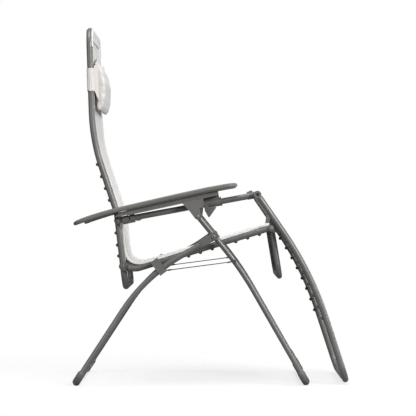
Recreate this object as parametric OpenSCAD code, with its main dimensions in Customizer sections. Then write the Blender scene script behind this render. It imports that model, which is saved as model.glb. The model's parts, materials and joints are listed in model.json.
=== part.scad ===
// Zero gravity recliner: two crossed leg frames, a reclining back, seat and legrest of bent tube,
// a one-piece mesh sling and armrests that slide on the arm tubes.
// Millimetres, +X to the sitter's front, +Y to the sitter's left, +Z up, floor at Z = 0.

/* [Tubes] */
// outside radius of the back and legrest tubes
TUBE_R = 10; // [8:0.5:12]
// outside radius of the seat and arm tubes
SEAT_R = 9.5; // [8:0.5:12]
// outside radius of the leg tubes and the knee bar
LEG_R = 9; // [8:0.5:12]
// wall thickness of every steel tube
WALL = 1.2; // [1:0.1:2]

/* [Width] */
// half spacing of the back tubes
BACK_Y = 250; // [220:1:270]
// half spacing of the seat and arm tubes
SEAT_Y = 271; // [250:1:290]
// half spacing of the legrest tubes
REST_Y = 294; // [270:1:310]
// half spacing of the front legs
FRONT_Y = 314; // [290:1:330]
// half spacing of the rear legs
REAR_Y = 333.5; // [310:0.5:350]
// half spacing of the knee bar's sides
KNEE_Y = 248; // [220:1:255]

/* [Armrest] */
// width of the armrest pad
PAD_WIDTH = 66; // [50:1:80]
// thickness of the armrest pad's board
PAD_THICK = 17; // [10:0.5:25]
// half spacing of the two pads
PAD_Y = 297.5; // [295:0.5:330]

/* [Sling] */
// thickness of the woven sling
CLOTH = 2.4; // [1:0.1:4]
// spacing of the lacing clips along a tube
CLIP_PITCH = 39.5; // [30:0.5:60]

/* [Headrest] */
// height of the headrest pillow along the back
PILLOW_HEIGHT = 190; // [120:1:220]
// width of the headrest pillow
PILLOW_WIDTH = 420; // [300:1:460]
// thickness of the headrest pillow
PILLOW_THICK = 48; // [30:1:90]

/* [Hidden] */
// pivots in the side view, as [x, z]
ARM_BACK = [-299.6, 525.3];
SEAT_BACK = [-282.4, 379.1];
SEAT_REST = [194.3, 503.1];
ARM_REST = [148.5, 609.0];
GUIDE_LEG = [-40.7, 539.0];
LEGS = [8.9, 475.1];
SEAT_LEG = [-174.9, 390.8];

// pin sizes shared by every pivot
PIN_R = 4;
RUNNING = 0.06;
HEAD_R = 7.5;
HEAD_T = 2.5;
GAP = 0.5;
JOINT = 0.12;
EPS = 1;

function unit(v) = v / norm(v);
function at(p, y) = [p[0], y, p[1]];
function toward(a, b, d) = a + unit(b - a) * d;
function turn(p, a) = [p[0] * cos(a) - p[1] * sin(a), p[0] * sin(a) + p[1] * cos(a)];
function setback(a, b, c, r) = r * tan(acos(unit(b - a) * unit(c - b)) / 2);
function slope(a, b) = atan2(b[1] - a[1], b[0] - a[0]);

// height of the leg tubes' feet, whose sleeves stand on the floor
FOOT_Z = 11.5;
BACK_TOP = [-392, 1138];
BACK_BEND = [-380.2, 784.3];
BACK_SPLIT = toward(BACK_TOP, BACK_BEND, 128);
BACK_HIP = [-302.7, 551.5];
BACK_FOOT = [-274.7, 313.2];
SEAT_DIP = [-242.6, 369.5];
REST_BEND = [318.4, 361.2];
REST_FOOT = [431.5, 16];
KNEE_FOOT = [220.2, 346.5];
FRONT_BEND = [96.8, 371.2];
FRONT_FOOT = [303.1, FOOT_Z];
REAR_BEND = [-212.2, 344.3];
REAR_FOOT = [-429.4, FOOT_Z];
ARM_ANGLE = slope(ARM_BACK, ARM_REST);
ARM_LENGTH = norm(ARM_REST - ARM_BACK);
// radius of each leg's bend at the floor, and the sleeve round it
FOOT_R = 30;
GLIDE_R = 12.1;
GLIDE_FIT = 0.55;
GLIDE_UP = 4;
GLIDE_REACH = 18;
COLLAR_R = 10.8;
COLLAR_LONG = 36;

STEEL = [0.36, 0.35, 0.33];
PLASTIC = [0.33, 0.32, 0.31];
ZINC = [0.62, 0.61, 0.59];
MESH = [0.86, 0.85, 0.83];
PILLOW = [0.83, 0.83, 0.82];
CABLE = [0.42, 0.41, 0.40];

// places children with their own axes given as columns
module framed(p, x, y, z) multmatrix([[x[0], y[0], z[0], p[0]], [x[1], y[1], z[1], p[1]],
  [x[2], y[2], z[2], p[2]], [0, 0, 0, 1]]) children();

// a round bar from p to q
module bar(p, q, r) {
  z = unit(q - p);
  x = unit(cross(abs(z[1]) > 0.9 ? [1, 0, 0] : [0, 1, 0], z));
  framed(p, x, cross(z, x), z) cylinder(h = norm(q - p), r = r, $fn = 48);
}

// a round bend at b, with a ball a hair larger at each end to join it to the straights
module bend(a, b, c, rad, r) {
  u = unit(b - a);
  v = unit(c - b);
  axis = unit(cross(u, v));
  reach = setback(a, b, c, rad);
  inward = cross(axis, u);
  framed(b - u * reach + inward * rad, -inward, u, axis) rotate_extrude(angle = acos(u * v), $fn = 160)
    translate([rad, 0]) circle(r, $fn = 48);
  for (p = [b - u * reach, b + v * reach]) translate(p) sphere(r + JOINT, $fn = 48);
}

// a bar that follows points pts, bent at each inner point to the radius in rads
module bent_bar(pts, rads, r, over = 0) {
  last = len(pts) - 1;
  for (i = [0:last - 1]) {
    u = unit(pts[i + 1] - pts[i]);
    start = i == 0 ? -over : setback(pts[i - 1], pts[i], pts[i + 1], rads[i - 1]);
    end = i == last - 1 ? -over : setback(pts[i], pts[i + 1], pts[i + 2], rads[i]);
    bar(pts[i] + u * start, pts[i + 1] - u * end, r);
  }
  for (i = [1:1:last - 1]) bend(pts[i - 1], pts[i], pts[i + 1], rads[i - 1], r);
}

module tube(pts, rads, r) difference() {
  bent_bar(pts, rads, r);
  bent_bar(pts, rads, r - WALL, EPS);
}

// a U frame: one side down to the foot, across, and up the other side
function mirrored(side, y) = [for (p = side) at(p, -y), for (i = [len(side) - 1:-1:0]) at(side[i], y)];
function both_ways(r) = [for (v = r) v, for (i = [len(r) - 1:-1:0]) r[i]];

// a disc or hole along Y, between y0 and y1
module across(p, r, y0, y1) translate([p[0], max(y0, y1), p[1]]) rotate([90, 0, 0])
  cylinder(h = abs(y1 - y0), r = r, $fn = 48);

// a flat plate in the side plane, drawn as [x, z] outlines, between y0 and y1
module plate(y0, y1) translate([0, max(y0, y1), 0]) rotate([90, 0, 0]) linear_extrude(abs(y1 - y0))
  children();

// a flattened tube end: round at p, running to q
module lug(p, q, r, width, y0, y1) {
  across(p, r, y0, y1);
  a = slope(p, q);
  plate(y0, y1) translate(p) rotate(a)
    polygon([[0, -r + 0.05], [norm(q - p), -width], [norm(q - p), width], [0, r - 0.05]]);
}

// a headed pin along Y from y0 to y1, with its heads outside the span
module pin(p, y0, y1, r = PIN_R, head = HEAD_R) {
  s = sign(y1);
  across(p, r, y0 - s * EPS, y1 + s * EPS);
  across(p, head, y0 - s * HEAD_T, y0);
  across(p, head, y1, y1 + s * HEAD_T);
}

module pin_hole(p, y) across(p, PIN_R + RUNNING, sign(y) * 200, sign(y) * 400);

/* ---- legs ---- */

REAR_SIDE = [toward(LEGS, REAR_BEND, 52), REAR_BEND, REAR_FOOT];
FRONT_SIDE = [toward(GUIDE_LEG, FRONT_BEND, 2), FRONT_BEND, FRONT_FOOT];
// the rear leg's flattened end lies just outside the front leg
FLAT_Y = FRONT_Y + LEG_R + 1.2;
FLAT_T = 7;

module rear_leg_frame() color(STEEL) difference() {
  union() {
    tube(mirrored(REAR_SIDE, REAR_Y), both_ways([540, FOOT_R]), LEG_R);
    for (s = [-1, 1]) lug(LEGS, toward(LEGS, REAR_BEND, 62), 13.5, LEG_R - 0.2, s * FLAT_Y,
      s * (FLAT_Y + FLAT_T));
  }
  for (s = [-1, 1]) pin_hole(LEGS, s);
}

module front_leg_frame() color(STEEL) difference() {
  union() {
    tube(mirrored(FRONT_SIDE, FRONT_Y), both_ways([1000, FOOT_R]), LEG_R);
    for (s = [-1, 1]) across(GUIDE_LEG, LEG_R + 0.8, s * (FRONT_Y - LEG_R + 0.2),
      s * (FRONT_Y + LEG_R - 0.2));
  }
  for (s = [-1, 1]) {
    pin_hole(LEGS, s);
    across(GUIDE_LEG, PIN_R + GAP, s * 280, s * 340);
  }
}

module leg_pivot_rivets() color(ZINC) for (s = [-1, 1])
  pin(LEGS, s * (FRONT_Y - LEG_R - GAP), s * (FLAT_Y + FLAT_T + GAP));

// a plastic sleeve round each lower corner of a leg frame, worn flat where it stands on the floor
// and, on the front legs, running on up the tube as a thinner collar
module glides(side, y, collar) for (s = [-1, 1]) {
  foot = side[2];
  rise = FOOT_R + GLIDE_UP;
  end = at(foot, s * (y - FOOT_R - GLIDE_REACH));
  collar_top = at(toward(foot, side[1], rise + collar), s * y);
  // the bore runs out through the rounded top of the sleeve
  bore_top = at(toward(foot, side[1], FOOT_R + GLIDE_R + collar), s * y);
  difference() {
    union() {
      bent_bar([at(toward(foot, side[1], rise), s * y), at(foot, s * y), end], [FOOT_R], GLIDE_R);
      if (collar > 0) bar(at(toward(foot, side[1], FOOT_R + EPS), s * y), collar_top, COLLAR_R);
    }
    bent_bar([bore_top, at(foot, s * y), end], [FOOT_R], LEG_R + GLIDE_FIT, EPS);
    translate([foot[0] - 100, s * y - 100, -10]) cube([200, 200, 10]);
  }
}

module rear_leg_glides() color(PLASTIC) glides(REAR_SIDE, REAR_Y, 0);
module front_leg_glides() color(PLASTIC) glides(FRONT_SIDE, FRONT_Y, COLLAR_LONG);

// the bracket is a two-part plastic block, square to the rear leg, that also carries the seat pivot
BLOCK_ANGLE = -53.5;
BLOCK_LEG = 25.3;
BLOCK_WIDE = 25;
BLOCK_IN = SEAT_Y + SEAT_R + 1;
BLOCK_OUT = REAR_Y + LEG_R + 3;

module block(from, to, s) difference() {
  plate(s * BLOCK_IN, s * BLOCK_OUT) translate(SEAT_LEG) rotate(BLOCK_ANGLE)
    translate([from, -BLOCK_WIDE / 2]) square([to - from, BLOCK_WIDE]);
  translate([SEAT_LEG[0], s * REAR_Y, SEAT_LEG[1]]) rotate([0, -BLOCK_ANGLE, 0])
    translate([BLOCK_LEG, 0, -BLOCK_WIDE]) cylinder(h = 2 * BLOCK_WIDE, r = LEG_R + 0.65, $fn = 48);
}

module leg_bracket(s) color(PLASTIC) difference() {
  block(-12, BLOCK_LEG - 0.3, s);
  across(SEAT_LEG, PIN_R + RUNNING, s * 270, s * 318);
}
module leg_bracket_right() leg_bracket(-1);
module leg_bracket_left() leg_bracket(1);

module leg_clamp(s) color(PLASTIC) difference() {
  block(BLOCK_LEG + 0.3, BLOCK_LEG + 15.5, s);
  bar(at(toward(CABLE_REAR, CABLE_FRONT, -0.2), s * CABLE_Y), at(CABLE_FRONT, s * CABLE_Y),
    CABLE_R + RUNNING);
}
module leg_clamp_right() leg_clamp(-1);
module leg_clamp_left() leg_clamp(1);

// the stay cable stops the legs from spreading
CABLE_REAR = SEAT_LEG + turn([BLOCK_LEG + 8, 4], BLOCK_ANGLE);
CABLE_FRONT = [74, 396];
CABLE_Y = FLAT_Y + 2.5;
CABLE_R = 1.5;

module stay_cable(s) color(CABLE) {
  bar(at(CABLE_REAR, s * CABLE_Y), at(CABLE_FRONT, s * CABLE_Y), CABLE_R);
  bar(at(toward(CABLE_REAR, CABLE_FRONT, 13), s * CABLE_Y), at(toward(CABLE_REAR, CABLE_FRONT, 26),
    s * CABLE_Y), CABLE_R + 1);
  bar(at(toward(CABLE_FRONT, CABLE_REAR, 22), s * CABLE_Y), at(toward(CABLE_FRONT, CABLE_REAR, 10),
    s * CABLE_Y), CABLE_R + 1);
  across(CABLE_FRONT, 6, s * (CABLE_Y - 2), s * (CABLE_Y + 2));
  across(CABLE_FRONT, 4, s * (CABLE_Y + 1), s * (CABLE_Y + 3.5));
}
module stay_cable_right() stay_cable(-1);
module stay_cable_left() stay_cable(1);

/* ---- seat ---- */

module seat_pivot_pins() color(ZINC) for (s = [-1, 1]) {
  across(SEAT_LEG, PIN_R, s * (SEAT_Y - SEAT_R - HEAD_T), s * 317);
  across(SEAT_LEG, HEAD_R, s * (SEAT_Y - SEAT_R - HEAD_T - GAP), s * (SEAT_Y - SEAT_R - GAP));
}

module seat_tube(s) color(STEEL) difference() {
  union() {
    tube([at(toward(SEAT_DIP, SEAT_BACK, 24), s * SEAT_Y), at(SEAT_DIP, s * SEAT_Y),
      at(toward(SEAT_REST, SEAT_DIP, 3), s * SEAT_Y)], [60], SEAT_R);
    lug(SEAT_BACK, toward(SEAT_BACK, SEAT_DIP, 34), 13, 12.6, s * (SEAT_Y - SEAT_R + 0.3),
      s * (SEAT_Y - SEAT_R + 8));
    across(SEAT_REST, SEAT_R + 1, s * (SEAT_Y - SEAT_R + 0.2), s * (SEAT_Y + SEAT_R - 0.2));
  }
  for (p = [SEAT_BACK, SEAT_REST, SEAT_LEG]) pin_hole(p, s);
}
module seat_tube_right() seat_tube(-1);
module seat_tube_left() seat_tube(1);

/* ---- back ---- */

module back_pivot_pins() color(ZINC) for (s = [-1, 1])
  pin(SEAT_BACK, s * (BACK_Y - TUBE_R - GAP), s * (SEAT_Y - SEAT_R + 8 + GAP), head = 8.5);

BACK_SIDE = [BACK_SPLIT, BACK_BEND, BACK_HIP, BACK_FOOT];
SPIGOT = 40;

module back_frame() color(STEEL) difference() {
  tube(mirrored(BACK_SIDE, BACK_Y), both_ways([630, 100, 45]), TUBE_R);
  for (s = [-1, 1]) for (p = [SEAT_BACK, ARM_BACK]) pin_hole(p, s);
}

TOP_R = 55;
TOP_BAR = mirrored([toward(BACK_SPLIT, BACK_TOP, GAP), BACK_TOP], BACK_Y);

// the top bar plugs into the back frame behind the headrest
module back_top_bar() color(STEEL) difference() {
  union() {
    bent_bar(TOP_BAR, [TOP_R, TOP_R], TUBE_R);
    for (s = [-1, 1]) bar(at(toward(BACK_SPLIT, BACK_BEND, SPIGOT), s * BACK_Y),
      at(toward(BACK_SPLIT, BACK_TOP, 20), s * BACK_Y), TUBE_R - WALL - 0.1);
  }
  bent_bar([at(toward(BACK_SPLIT, BACK_BEND, SPIGOT), -BACK_Y), at(BACK_TOP, -BACK_Y),
    at(BACK_TOP, BACK_Y), at(toward(BACK_SPLIT, BACK_BEND, SPIGOT), BACK_Y)], [TOP_R, TOP_R],
    TUBE_R - 2 * WALL - 0.1, EPS);
}

/* ---- legrest ---- */

module knee_pivot_pins() color(ZINC) for (s = [-1, 1])
  pin(SEAT_REST, s * (KNEE_Y - LEG_R - GAP), s * (GUSSET_OUT + GAP), head = 8.5);

RING_R = 12;
// radius of the long bend in the legrest's sides
REST_ARC = 1080;
GUSSET_IN = SEAT_Y + SEAT_R + 0.7;
GUSSET_OUT = REST_Y - TUBE_R + 0.8;

module legrest_frame() color(STEEL) difference() {
  union() {
    tube(mirrored([toward(ARM_REST, REST_BEND, RING_R + 0.3), REST_BEND, REST_FOOT], REST_Y),
      both_ways([REST_ARC, 45]), TUBE_R);
    for (s = [-1, 1]) {
      across(SEAT_REST, 12.5, s * GUSSET_IN, s * GUSSET_OUT);
      plate(s * GUSSET_IN, s * GUSSET_OUT)
        polygon([SEAT_REST + [-9, 8], toward(ARM_REST, REST_BEND, 74), toward(ARM_REST, REST_BEND, 168),
        SEAT_REST + [5, -11]]);
    }
  }
  for (s = [-1, 1]) pin_hole(SEAT_REST, s);
}

// rings pressed on the legrest's upper ends face the arm knuckles
module legrest_end_rings() color(PLASTIC) for (s = [-1, 1]) difference() {
  union() {
    across(ARM_REST, RING_R, s * (REST_Y - TUBE_R + 0.3), s * (REST_Y + TUBE_R - 0.3));
    bar(at(ARM_REST, s * REST_Y), at(toward(ARM_REST, REST_BEND, 24), s * REST_Y), TUBE_R - WALL - 0.1);
  }
  across(ARM_REST, 4.4, s * (REST_Y + 1), s * (REST_Y + TUBE_R + EPS));
}

module knee_bar() color(STEEL) difference() {
  union() {
    tube(mirrored([toward(SEAT_REST, KNEE_FOOT, 2), KNEE_FOOT], KNEE_Y), both_ways([40]), LEG_R);
    for (s = [-1, 1]) across(SEAT_REST, LEG_R + 1, s * (KNEE_Y - LEG_R + 0.2), s * (KNEE_Y + LEG_R - 0.2));
  }
  for (s = [-1, 1]) pin_hole(SEAT_REST, s);
}

/* ---- arms and guides ---- */

// children drawn along the arm line: X along the arm from its rear pivot, Z square to it
module on_arm(s) translate([ARM_BACK[0], s * SEAT_Y, ARM_BACK[1]]) rotate([0, -ARM_ANGLE, 0]) children();
module along(from, to, r) translate([from, 0, 0]) rotate([0, 90, 0]) cylinder(h = to - from, r = r, $fn = 48);

module arm_pivot_pins() color(ZINC) for (s = [-1, 1])
  pin(ARM_BACK, s * (BACK_Y - TUBE_R - GAP), s * (SEAT_Y + SEAT_R + GAP));

TUBE_END = ARM_LENGTH - 16;

module arm_tube(s) color(STEEL) difference() {
  union() {
    on_arm(s) difference() {
      along(3, TUBE_END, SEAT_R);
      along(2, TUBE_END + EPS, SEAT_R - WALL);
    }
    across(ARM_BACK, SEAT_R + 1, s * (SEAT_Y - SEAT_R + 0.2), s * (SEAT_Y + SEAT_R - 0.2));
  }
  pin_hole(ARM_BACK, s);
}
module arm_tube_right() arm_tube(-1);
module arm_tube_left() arm_tube(1);

KNUCKLE_FROM = ARM_LENGTH - 25;

module arm_knuckle(s) color(PLASTIC) difference() {
  union() {
    on_arm(s) {
      along(KNUCKLE_FROM, ARM_LENGTH - 4, SEAT_R + 1.6);
      translate([KNUCKLE_FROM, -4, 4]) cube([11, 8, 12.5]);
    }
    across(ARM_REST, 12, s * (SEAT_Y - SEAT_R - 1), s * (SEAT_Y + SEAT_R + 1.5));
  }
  on_arm(s) along(KNUCKLE_FROM - EPS, TUBE_END + GAP, SEAT_R + RUNNING);
  pin_hole(ARM_REST, s);
}
module arm_knuckle_right() arm_knuckle(-1);
module arm_knuckle_left() arm_knuckle(1);

// the rivet that ties the knuckle to the legrest's ring stops short of the ring
module knuckle_rivets() color(ZINC) for (s = [-1, 1]) {
  across(ARM_REST, PIN_R, s * (SEAT_Y - SEAT_R - 3), s * (REST_Y - TUBE_R));
  across(ARM_REST, HEAD_R, s * (SEAT_Y - SEAT_R - 4.1), s * (SEAT_Y - SEAT_R - 1.9));
}

// distances along the arm of the guide's parts
SLEEVE_FROM = 281;
SLEEVE_TO = 336;
FLANGE = 3;
BUSH_R = SEAT_R + 1.7;
SLEEVE_R = 13.6;

module guide_bush(s) color(PLASTIC) on_arm(s) difference() {
  union() {
    along(SLEEVE_FROM - EPS, SLEEVE_TO + EPS, BUSH_R);
    along(SLEEVE_TO + GAP, SLEEVE_TO + FLANGE + GAP, SLEEVE_R + 1);
  }
  along(SLEEVE_FROM - 2 * EPS, SLEEVE_TO + FLANGE + EPS, SEAT_R + RUNNING);
}
module guide_bush_right() guide_bush(-1);
module guide_bush_left() guide_bush(1);

// the guide in the arm's own axes: x along the arm from its rear pivot, z above it
BOLT_ARM = turn(GUIDE_LEG - ARM_BACK, -ARM_ANGLE);
CHEEK_IN = [FRONT_Y - LEG_R - 7, FRONT_Y - LEG_R - 1.5];
CHEEK_OUT = [FRONT_Y + LEG_R + 1.2, FRONT_Y + LEG_R + 5];
LEVER_PIVOT = [286, -19];
LEVER_Y = [SEAT_Y + 13.5, SEAT_Y + 21.5];
LEVER_PIN_R = 2.5;

// underside of the pad's rail and top of the pad, as heights above the arm's axis
RAIL = [-9, 334];
RAIL_OUT = 14;
function rail_z(x) = 11.6 + (x + 9) * 0.0295;
function pad_z(x) = lookup(x, [[-138, 23.5], [-110, 29.4], [-80, 33.8], [-40, 38.4], [10, 42.2],
  [60, 44.5], [105, 46.3], [160, 48.6], [210, 50.5], [260, 52], [300, 53], [340, 52.9], [370, 52.6],
  [385, 51.8], [398, 50.5]]);
PAD = [-138, 398];

module on_arm_plate(s, y0, y1) on_arm(s) plate(s * (y0 - SEAT_Y), s * (y1 - SEAT_Y)) children();

module guide_housing(s) color(PLASTIC) difference() {
  union() {
    on_arm(s) along(SLEEVE_FROM, SLEEVE_TO, SLEEVE_R);
    // inner and outer cheeks take the front leg's end between them
    on_arm_plate(s, CHEEK_IN[0], CHEEK_IN[1])
      polygon([[238, 4], BOLT_ARM + [-10, -5], BOLT_ARM + [-3, -11], BOLT_ARM + [5, -10],
      BOLT_ARM + [10, -2], [279, 4]]);
    on_arm_plate(s, CHEEK_OUT[0], CHEEK_OUT[1])
      polygon([[217, rail_z(217) - 0.9], [215, 16], [231, -8.5], BOLT_ARM + [-10.5, -5.5],
      BOLT_ARM + [-3, -11], BOLT_ARM + [4, -10], BOLT_ARM + [8.5, -3], BOLT_ARM + [9.5, 24], [279, -7.5],
      [283.5, rail_z(283.5) - 0.9]]);
    // bridge from the sleeve over the leg's end to the cheeks, under the pad's rail
    on_arm_plate(s, SEAT_Y - 6, CHEEK_OUT[1] - 0.8)
      polygon([[224, rail_z(224) - 0.4], [236, -4], [282, -4], [282, rail_z(282) - 0.4]]);
    // narrower rib that carries the rail over the rest of the sleeve
    on_arm_plate(s, SEAT_Y - 5, SEAT_Y + 12)
      polygon([[276, -2.5], [286, -2.5], [334, 11], [334, rail_z(334) - 0.8], [276, rail_z(276) - 0.8]]);
    // lugs for the lock lever
    on_arm_plate(s, SEAT_Y + 8, LEVER_Y[1] + 2.5) translate([281, -12.4]) square([14, 9]);
    for (y = [LEVER_Y[0] - 2.5, LEVER_Y[1] + 0.4]) on_arm_plate(s, y, y + 2.1) {
      translate(LEVER_PIVOT) circle(5.5, $fn = 48);
      translate(LEVER_PIVOT + [-5, 0]) square([10, 10]);
    }
  }
  on_arm(s) along(200, SLEEVE_TO + 20, BUSH_R + RUNNING);
  across(GUIDE_LEG, PIN_R + RUNNING, s * (CHEEK_OUT[0] - EPS), s * (CHEEK_OUT[1] + EPS));
  on_arm_plate(s, SEAT_Y + 5, CHEEK_IN[0] - EPS) translate(LEVER_PIVOT)
    circle(LEVER_PIN_R + RUNNING, $fn = 48);
}
module guide_housing_right() guide_housing(-1);
module guide_housing_left() guide_housing(1);

module guide_bolts() color(ZINC) for (s = [-1, 1]) {
  across(GUIDE_LEG, PIN_R, s * (CHEEK_OUT[0] + 0.2), s * (CHEEK_OUT[1] + EPS));
  across(GUIDE_LEG, 6, s * (CHEEK_OUT[1] + 0.2), s * (CHEEK_OUT[1] + 2.4));
  on_arm_plate(s, LEVER_Y[0] - 2.5, LEVER_Y[1] + 2.5) translate(LEVER_PIVOT) circle(LEVER_PIN_R, $fn = 48);
}

// the lock lever hangs under the sleeve, in front of the leg
module lock_lever(s) color(PLASTIC) difference() {
  union() {
    on_arm_plate(s, LEVER_Y[0], LEVER_Y[1]) translate(LEVER_PIVOT) circle(5.4, $fn = 48);
    on_arm_plate(s, LEVER_Y[0], LEVER_Y[1])
      polygon([LEVER_PIVOT + [0, 5], LEVER_PIVOT + [31, 5], LEVER_PIVOT + [33, 2.5],
      LEVER_PIVOT + [6.5, -23.5], LEVER_PIVOT + [2.5, -23.5], LEVER_PIVOT + [-5, -1]]);
  }
  on_arm_plate(s, LEVER_Y[0] - EPS, LEVER_Y[1] + EPS) translate(LEVER_PIVOT)
    circle(LEVER_PIN_R + RUNNING, $fn = 48);
}
module lock_lever_right() lock_lever(-1);
module lock_lever_left() lock_lever(1);

// a saddle on the arm tube carries the rear of the pad's rail and is open on its inner side
SADDLES = [[16, 37, 15.5], [41, 57, 12.5]];

module rear_saddle(s) color(PLASTIC) on_arm(s) for (d = SADDLES) difference() {
  along(d[0], d[1], d[2]);
  along(d[0] - EPS, d[1] + EPS, SEAT_R + RUNNING);
  translate([d[0] - EPS, s > 0 ? -24 : SEAT_R - 0.6, -30]) cube([d[1] - d[0] + 2 * EPS, 24.6 - SEAT_R, 60]);
  translate([d[0] - EPS, -30, rail_z(-9) - 0.5]) cube([d[1] - d[0] + 2 * EPS, 60, 10]);
}
module rear_saddle_right() rear_saddle(-1);
module rear_saddle_left() rear_saddle(1);

/* ---- armrest pads ---- */

// joins rings of points, each listed the same way round, into one closed solid
module loft(rings) {
  n = len(rings[0]);
  m = len(rings);
  polyhedron(
    [for (r = rings) for (p = r) p],
    concat(
      [[for (i = [n - 1:-1:0]) i]],
      [for (k = [0:m - 2]) for (i = [0:n - 1]) let (a = k * n + i, b = k * n + (i + 1) % n) each [[a, b,
        b + n], [a, b + n, a + n]]],
      [[for (i = [0:n - 1]) (m - 1) * n + i]]
    )
  );
}

// a rounded box outline of half sizes a and b
function squircle(a, b, e, n) = [for (i = [0:n - 1]) let (t = 360 * i / n) [a * sign(cos(t)) *
  pow(abs(cos(t)), e), b * sign(sin(t)) * pow(abs(sin(t)), e)]];

// 1 along the middle, falling to a rounded tip over the last d millimetres
function tip(x, lo, hi, d) = let (e = min(x - lo, hi - x)) e >= d ? 1 : sqrt(max(0, 1 - pow(1 - e / d, 2)));

PAD_STATIONS = [for (x = [0, 1.5, 5, 11, 20, 32]) PAD[0] + x, for (x = [PAD[0] + 50:30:PAD[1] - 50]) x,
  for (x = [32, 20, 11, 5, 1.5, 0]) PAD[1] - x];

module armrest_pad(s) color(PLASTIC) on_arm(s) loft([
  for (x = PAD_STATIONS) let (
    w = PAD_WIDTH / 2 * (0.3 + 0.7 * tip(x, PAD[0], PAD[1], 34)),
    t = PAD_THICK / 2 * (0.72 + 0.28 * tip(x, PAD[0], PAD[1], 60)) * (0.45 + 0.55 * tip(x, PAD[0], PAD[1], 9))
  ) [for (q = squircle(w, t, 0.42, 28)) [x, s * (PAD_Y - SEAT_Y) + q[0], pad_z(x) - PAD_THICK / 2 + q[1]]]
]);
module armrest_pad_right() armrest_pad(-1);
module armrest_pad_left() armrest_pad(1);

module pad_rail(s) color(PLASTIC) on_arm_plate(s, PAD_Y - PAD_WIDTH / 2 + 3, PAD_Y + RAIL_OUT) polygon([
  [RAIL[0], rail_z(RAIL[0])], [RAIL[1], rail_z(RAIL[1])],
  for (x = [RAIL[1]:-29:RAIL[0] - 1]) [max(x, RAIL[0]), pad_z(max(x, RAIL[0])) - PAD_THICK - 0.3]
]);
module pad_rail_right() pad_rail(-1);
module pad_rail_left() pad_rail(1);

/* ---- sling ---- */

// side paths of the sling's middle surface
BACK_PATH = [
  [-384.2, 1119], [-380.2, 1000], [-376.2, 880], [-373.6, 838], [-368.3, 800], [-359, 756], [-343, 704],
  [-324.5, 648], [-305.4, 590], [-291.5, 545], [-286, 510], [-282.5, 475], [-280, 441]
];
LUMBAR_PATH = [[-276.5, 424], [-273.5, 411], [-268.5, 402.5], [-262, 396.5], [-252, 390.5], [-244, 388],
  [-237.5, 387.2]];
SEAT_PATH = [[-229, 387.2], [-218, 388.6], [-204, 392.2], [-188, 396.9], [168, 505.6]];
KNEE_PATH = [[186, 510], [196, 511.5], [207, 511], [218, 507.5], [228, 500.5], [234, 492]];
LEG_PATH = [[241.5, 481.5], [254, 462], [276, 426], [297, 388.5], [316.6, 350], [335, 311.5],
  [351.5, 273.4], [365.6, 235.2], [376, 203]];

function normal_at(path, i) = let (a = path[max(i - 1, 0)], b = path[min(i + 1, len(path) - 1)],
  u = unit(b - a)) [-u[1], u[0]];

module cloth(path, half, t = CLOTH) plate(-half, half) polygon(concat(
  [for (i = [0:len(path) - 1]) path[i] + normal_at(path, i) * t / 2],
  [for (i = [len(path) - 1:-1:0]) path[i] - normal_at(path, i) * t / 2]
));

BACK_HALF = 232;
KNEE_HALF = 235;
LEG_HALF = 268;
HEM_HALF = BACK_Y - TOP_R - 8;

module back_sling() color(MESH) {
  difference() {
    cloth(BACK_PATH, BACK_HALF);
    bent_bar(TOP_BAR, [TOP_R, TOP_R], TUBE_R + GAP);
  }
  // the hem sleeve round the top bar
  difference() {
    across(BACK_TOP, TUBE_R + GAP + CLOTH, -HEM_HALF, HEM_HALF);
    across(BACK_TOP, TUBE_R + GAP, -HEM_HALF - EPS, HEM_HALF + EPS);
  }
  plate(-HEM_HALF, HEM_HALF) polygon([BACK_PATH[0] + [1.1, -2], BACK_PATH[0] + [-1.1, -2],
    BACK_TOP + [10.2, -6], BACK_TOP + [12.2, -3]]);
}
module lumbar_sling() color(MESH) cloth(LUMBAR_PATH, BACK_HALF);
module seat_sling() color(MESH) cloth(SEAT_PATH, KNEE_HALF);
module knee_sling() color(MESH) cloth(KNEE_PATH, KNEE_HALF - 1);
module leg_sling() color(MESH) cloth(LEG_PATH, LEG_HALF);

/* ---- lacing clips ---- */

CLIP_R = 1.1;
CLIP_GAP = 0.35;

KNOB_R = 5.8;
// how far in front of the tube's middle each hook's tip lies
BACK_HOOK = 4.2;
LEG_HOOK = 0.8;

// a clip hooks from the sling's edge, at half width edge, round the inner and rear side of the tube at p
module clip(p, along_tube, s, y, r, edge, hook) {
  back = [-along_tube[1], 0, along_tube[0]];
  reach = r + CLIP_R + CLIP_GAP;
  framed(at(p, s * y), back, [0, -s, 0], cross(back, [0, -s, 0])) {
    rotate_extrude(angle = 90, $fn = 64) translate([reach, 0]) circle(CLIP_R, $fn = 24);
    translate([0, reach, 0]) sphere(CLIP_R + JOINT, $fn = 24);
    bar([0, reach, 0], [-hook, max(reach + 1, y - edge + 3), 0], CLIP_R);
    difference() {
      translate([r - 0.5, 0, 0]) sphere(KNOB_R, $fn = 32);
      cylinder(h = 4 * KNOB_R, r = r + CLIP_GAP, center = true, $fn = 64);
    }
  }
}

// a clip below this height stops short, because the back folds down past the lumbar sling
LOW_CLIP = 420;
function on_line(a, b, z) = a + (b - a) * (z - a[1]) / (b[1] - a[1]);

BACK_CLIPS = [709, 670, 632, 594, 557, 487, 448, 413];
module back_clips() color(PLASTIC) for (s = [-1, 1]) for (z = BACK_CLIPS) {
  lo = z > BACK_HIP[1] ? BACK_HIP : BACK_FOOT;
  hi = z > BACK_HIP[1] ? BACK_BEND : BACK_HIP;
  clip(on_line(lo, hi, z), unit(hi - lo), s, BACK_Y, TUBE_R + 0.3, z < LOW_CLIP ? BACK_Y : BACK_HALF, BACK_HOOK);
}

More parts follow.
